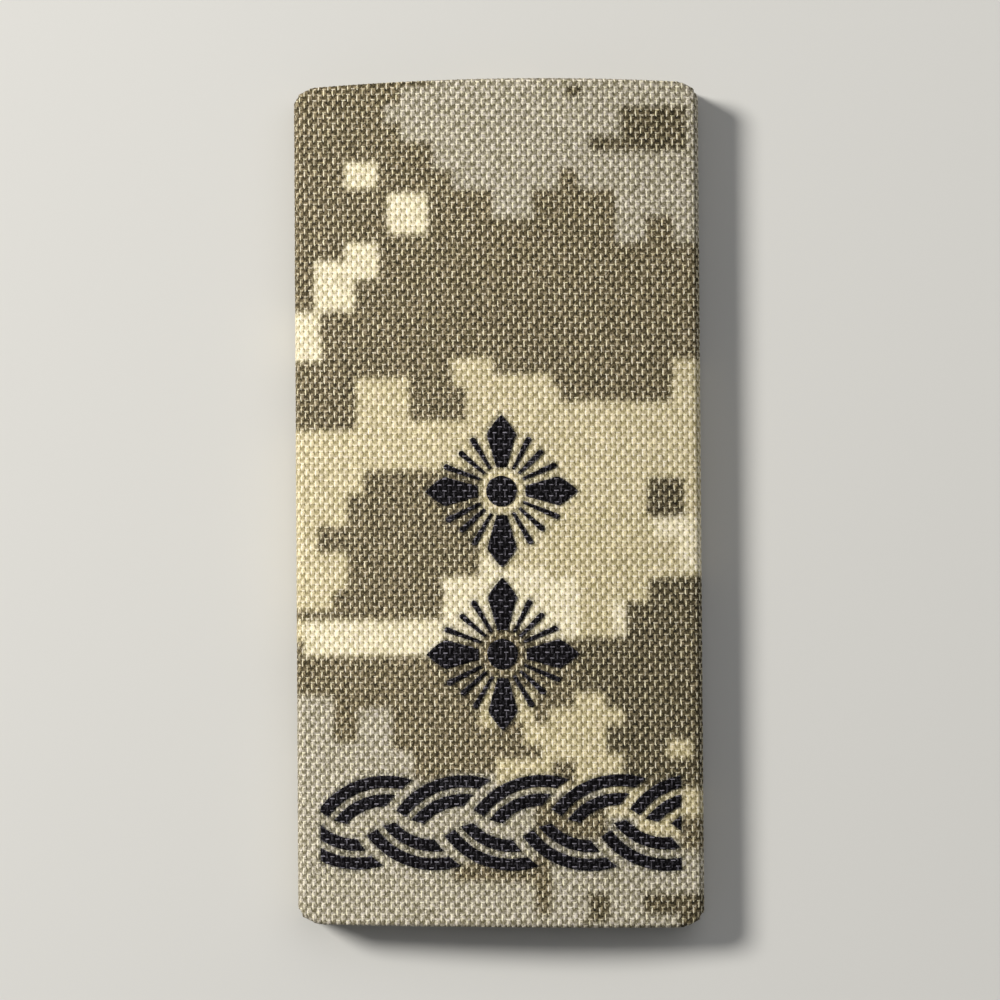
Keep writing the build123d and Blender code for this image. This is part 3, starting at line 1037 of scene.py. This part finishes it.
def film_grid(outlines, sizes):
    """Flat faces that fill the outlines: a ring along the edge, and a grid inside."""
    flat = bmesh.new()
    for outline in outlines:
        flat.faces.new([flat.verts.new((x, y, 0)) for x, y in outline])
    inset = sizes.edge_round / mm
    bmesh.ops.inset_region(flat, faces=flat.faces[:], thickness=inset, use_even_offset=True)
    every = np.concatenate(outlines)
    for axis, gap in ((0, sizes.grid_across / mm), (1, sizes.grid_along / mm)):
        normal = [0, 0, 0]
        normal[axis] = 1
        lines = np.arange(math.ceil(every[:, axis].min() / gap), every[:, axis].max() / gap)
        for line in lines:
            point = [0, 0, 0]
            point[axis] = float(line * gap)
            bmesh.ops.bisect_plane(
                flat, geom=flat.verts[:] + flat.edges[:] + flat.faces[:], dist=2e-3,
                plane_co=point, plane_no=normal,
            )
    flat.verts.index_update()
    places = np.array([(vert.co.x, vert.co.y) for vert in flat.verts])
    faces = [[vert.index for vert in face.verts] for face in flat.faces]
    edges = []
    for face in flat.faces:
        for loop in face.loops:
            if loop.edge.is_boundary:
                edges.append((loop.vert.index, loop.link_loop_next.vert.index))
    flat.free()
    return places, faces, edges


def ragged(places, reach):
    """Small smooth strays in plan, from a few crossed waves about as long as the weave is coarse."""
    chance = np.random.default_rng(17)
    waves, strays = 7, np.zeros(places.shape)
    for _ in range(waves):
        turn, long = chance.uniform(0, math.pi), chance.uniform(0.55, 1.5)
        wave = (places @ (math.cos(turn), math.sin(turn))) * (2 * math.pi / long)
        strays += np.sin(wave + chance.uniform(0, 2 * math.pi))[:, None] * chance.normal(0, 0.5, 2)
    return strays * reach


def film_mesh(node, sizes, section, weave):
    """One film node: a top embossed by the weave with a rounded edge, a skirt, and an underside."""
    plain_edge, sunk = 0.4, 0.02
    outlines = film_outlines(node)
    places, faces, edges = film_grid(outlines, sizes)
    from_edge = -film_distance(places, outlines, 1.0)
    x, y = (places + ragged(places, sizes.ragged / mm)).T
    uv = weave_map(section, weave, x, y)
    warp_over = (np.floor(uv).sum(1) % 2 == 0) * 0.5 + 0.5
    pillow = np.abs(np.sin(np.pi * uv)).prod(1) * warp_over
    radius = sizes.edge_round / mm
    crown = section.crown_z(x)
    imprint = sizes.imprint / mm * (1 - np.sqrt(pillow)) * smooth_step(0, plain_edge, from_edge)
    top = crown + sizes.lift / mm - imprint - rounding(from_edge, radius)
    under = crown - sunk
    count = len(places)
    vertices = np.concatenate([np.stack([x, y, top], -1), np.stack([x, y, under], -1)])
    beneath = [[k + count for k in reversed(face)] for face in faces]
    skirt = [(second, first, first + count, second + count) for first, second in edges]
    # The top's edge, marked for the film's painted rim highlight.
    rim = np.concatenate([from_edge < radius / 2, np.zeros(count)])
    return vertices, [*faces, *beneath, *skirt], np.concatenate([uv, uv]), rim


def stitch_mesh(sizes, thread):
    """Two rows of stitches on each side of the lap: threads whose two ends dive into the cloth."""
    sides, bare_end, proud = 8, 2.5, (0.12, -0.02)
    profile = ((0, 0.55), (0.08, 0.1), (0.2, 0), (0.5, -0.02), (0.8, 0), (0.92, 0.1), (1, 0.55))
    radius, stitch, gap = thread.thread / mm / 2, thread.stitch / mm, thread.gap / mm
    seam = sizes.lap_width / mm / 2 - thread.inset / mm
    lap_top = 2 * sizes.cloth / mm + sizes.lap_slit / mm
    reach = half_length - bare_end
    count = int((2 * reach) // (stitch + gap))
    around = np.arange(sides) * 2 * math.pi / sides
    vertices, faces = [], []
    for surface, inward in ((proud[0], 1), (lap_top + proud[1], -1)):
        for x in (-seam, seam):
            for number in range(count):
                start = -reach + number * (stitch + gap)
                first = len(vertices)
                for done, dive in profile:
                    y = start + done * stitch
                    for turn in around:
                        z = surface + inward * dive + inward * radius * math.sin(turn) * 0.8
                        vertices.append((x + radius * math.cos(turn), y, z))
                for ring in range(len(profile) - 1):
                    for k in range(sides):
                        low = first + ring * sides
                        after = (k + 1) % sides
                        quad = (low + k, low + after, low + sides + after, low + sides + k)
                        faces.append(quad if inward < 0 else quad[::-1])
                end = first + (len(profile) - 1) * sides
                caps = ([first + k for k in range(sides)], [end + k for k in range(sides)][::-1])
                faces.extend(cap[::-1] if inward < 0 else cap for cap in caps)
    return vertices, faces


def floor_mesh():
    """A wide round floor, finer near the board."""
    rings, spokes, reach = 12, 64, 3000.0
    vertices = [(0, 0, 0)]
    for ring in range(1, rings + 1):
        radius = reach * (ring / rings) ** 2
        for k in range(spokes):
            turn = 2 * math.pi * k / spokes
            vertices.append((radius * math.cos(turn), radius * math.sin(turn), 0))
    faces = [(0, 1 + k, 1 + (k + 1) % spokes) for k in range(spokes)]
    for ring in range(rings - 1):
        low = 1 + ring * spokes
        for k in range(spokes):
            after = (k + 1) % spokes
            faces.append((low + k, low + spokes + k, low + spokes + after, low + after))
    return vertices, faces


class BOARD_OT_sleeve(bpy.types.Operator):
    """Make the woven sleeve with its folds, its seam and its printed pattern"""

    bl_idname = "board.sleeve"
    bl_label = "Sleeve"

    def execute(self, context):
        sizes = context.scene.board_sleeve
        shape = SleeveMesh(sizes, context.scene.board_thread)
        maps = (shape.uv, shape.colours, shape.press)
        sleeve = add_piece("sleeve_cloth", shape.nodes, shape.faces, cloth_finish(sizes), *maps)
        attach(sleeve, "root")
        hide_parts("sleeve")
        return {"FINISHED"}


class BOARD_OT_film(bpy.types.Operator):
    """Make the film of the two stars and the braid, one piece for each node"""

    bl_idname = "board.film"
    bl_label = "Film"

    def execute(self, context):
        sizes = context.scene.board_film
        section = Section(context.scene.board_sleeve)
        finish = film_finish(sizes)
        for node in film_nodes:
            vertices, faces, uv, rim = film_mesh(node, sizes, section, context.scene.board_sleeve)
            film = add_piece(node + "_film", vertices, faces, finish, uv, press=rim)
            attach(film, "root")
            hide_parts(node)
        return {"FINISHED"}


class BOARD_OT_thread(bpy.types.Operator):
    bl_idname = "board.thread"
    bl_label = "Thread"

    def execute(self, context):
        thread, sizes = context.scene.board_thread, context.scene.board_sleeve
        stitches = add_piece("lap_stitches", *stitch_mesh(sizes, thread), thread_finish(thread))
        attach(stitches, "root")
        flat = (Section(sizes).total * mm, 2 * half_length * mm)
        return {"FINISHED"}


class BOARD_OT_stage(bpy.types.Operator):
    """Lay the pale floor, hang the soft lights and set the camera"""

    bl_idname = "board.stage"
    bl_label = "Stage"

    def execute(self, context):
        sizes = context.scene.board_stage
        floor = add_piece("floor", *floor_mesh(), floor_finish(sizes))
        lamps = (
            ("key", (-0.72, 0.34, 0.70), 0.30, sizes.key_power, (1.0, 0.985, 0.95)),
            ("fill", (0.35, 0.45, 1.1), 1.3, sizes.fill_power, (0.97, 0.98, 1.0)),
        )
        for name, place, size, power, tint in lamps:
            data = bpy.data.lights.new(name, "AREA")
            data.shape, data.size, data.energy, data.color = "DISK", size, power, tint
            lamp = bpy.data.objects.new(name, data)
            lamp.location = place
            lamp.rotation_euler = (-Vector(place)).to_track_quat("-Z", "Y").to_euler()
            context.scene.collection.objects.link(lamp)
        world = bpy.data.worlds.new("air")
        world.use_nodes = True
        sky = world.node_tree.nodes["Background"]
        sky.inputs["Color"].default_value = (0.95, 0.97, 1.0, 1)
        sky.inputs["Strength"].default_value = sizes.air
        context.scene.world = world
        data = bpy.data.cameras.new("camera")
        data.sensor_width = 36.0
        data.lens = data.sensor_width * sizes.distance / sizes.field
        data.clip_start, data.clip_end = 0.05, 20
        camera = bpy.data.objects.new("camera", data)
        aim = Vector((sizes.aim_x, sizes.aim_y, board_height * mm))
        back = Vector((math.tan(sizes.lean_right), -math.tan(sizes.lean_down), 1)).normalized()
        right = Vector((math.cos(sizes.roll), -math.sin(sizes.roll), 0))
        right = (right - back * right.dot(back)).normalized()
        up = back.cross(right)
        turn = Matrix((right, up, back)).transposed().to_4x4()
        camera.matrix_world = Matrix.Translation(aim + back * sizes.distance) @ turn
        context.scene.collection.objects.link(camera)
        context.scene.camera = camera
        context.scene.view_settings.view_transform = "Standard"
        return {"FINISHED"}


class BOARD_PT_panel(bpy.types.Panel):
    """Lists the steps that make the shoulder board, with their settings"""

    bl_idname = "BOARD_PT_panel"
    bl_label = "Shoulder board"
    bl_space_type = "VIEW_3D"
    bl_region_type = "UI"
    bl_category = "Shoulder board"

    def draw(self, context):
        for operator, settings in STEPS:
            box = self.layout.box()
            box.operator(operator.bl_idname)
            group = getattr(context.scene, settings)
            for name in type(group).__annotations__:
                box.prop(group, name)


STEPS = (
    (BOARD_OT_sleeve, "board_sleeve"),
    (BOARD_OT_film, "board_film"),
    (BOARD_OT_thread, "board_thread"),
    (BOARD_OT_stage, "board_stage"),
)
SETTINGS = {
    "board_sleeve": SleeveSettings,
    "board_film": FilmSettings,
    "board_thread": ThreadSettings,
    "board_stage": StageSettings,
}


def register():
    for name, group in SETTINGS.items():
        bpy.utils.register_class(group)
        setattr(bpy.types.Scene, name, bpy.props.PointerProperty(type=group))
    for operator, _ in STEPS:
        bpy.utils.register_class(operator)
    bpy.utils.register_class(BOARD_PT_panel)


def unregister():
    bpy.utils.unregister_class(BOARD_PT_panel)
    for operator, _ in reversed(STEPS):
        bpy.utils.unregister_class(operator)
    for name, group in reversed(SETTINGS.items()):
        delattr(bpy.types.Scene, name)
        bpy.utils.unregister_class(group)


def main():
    """Makes every piece in order."""
    register()
    for operator, _ in STEPS:
        group, name = operator.bl_idname.split(".")
        getattr(getattr(bpy.ops, group), name)()


if __name__ == "__main__":
    main()
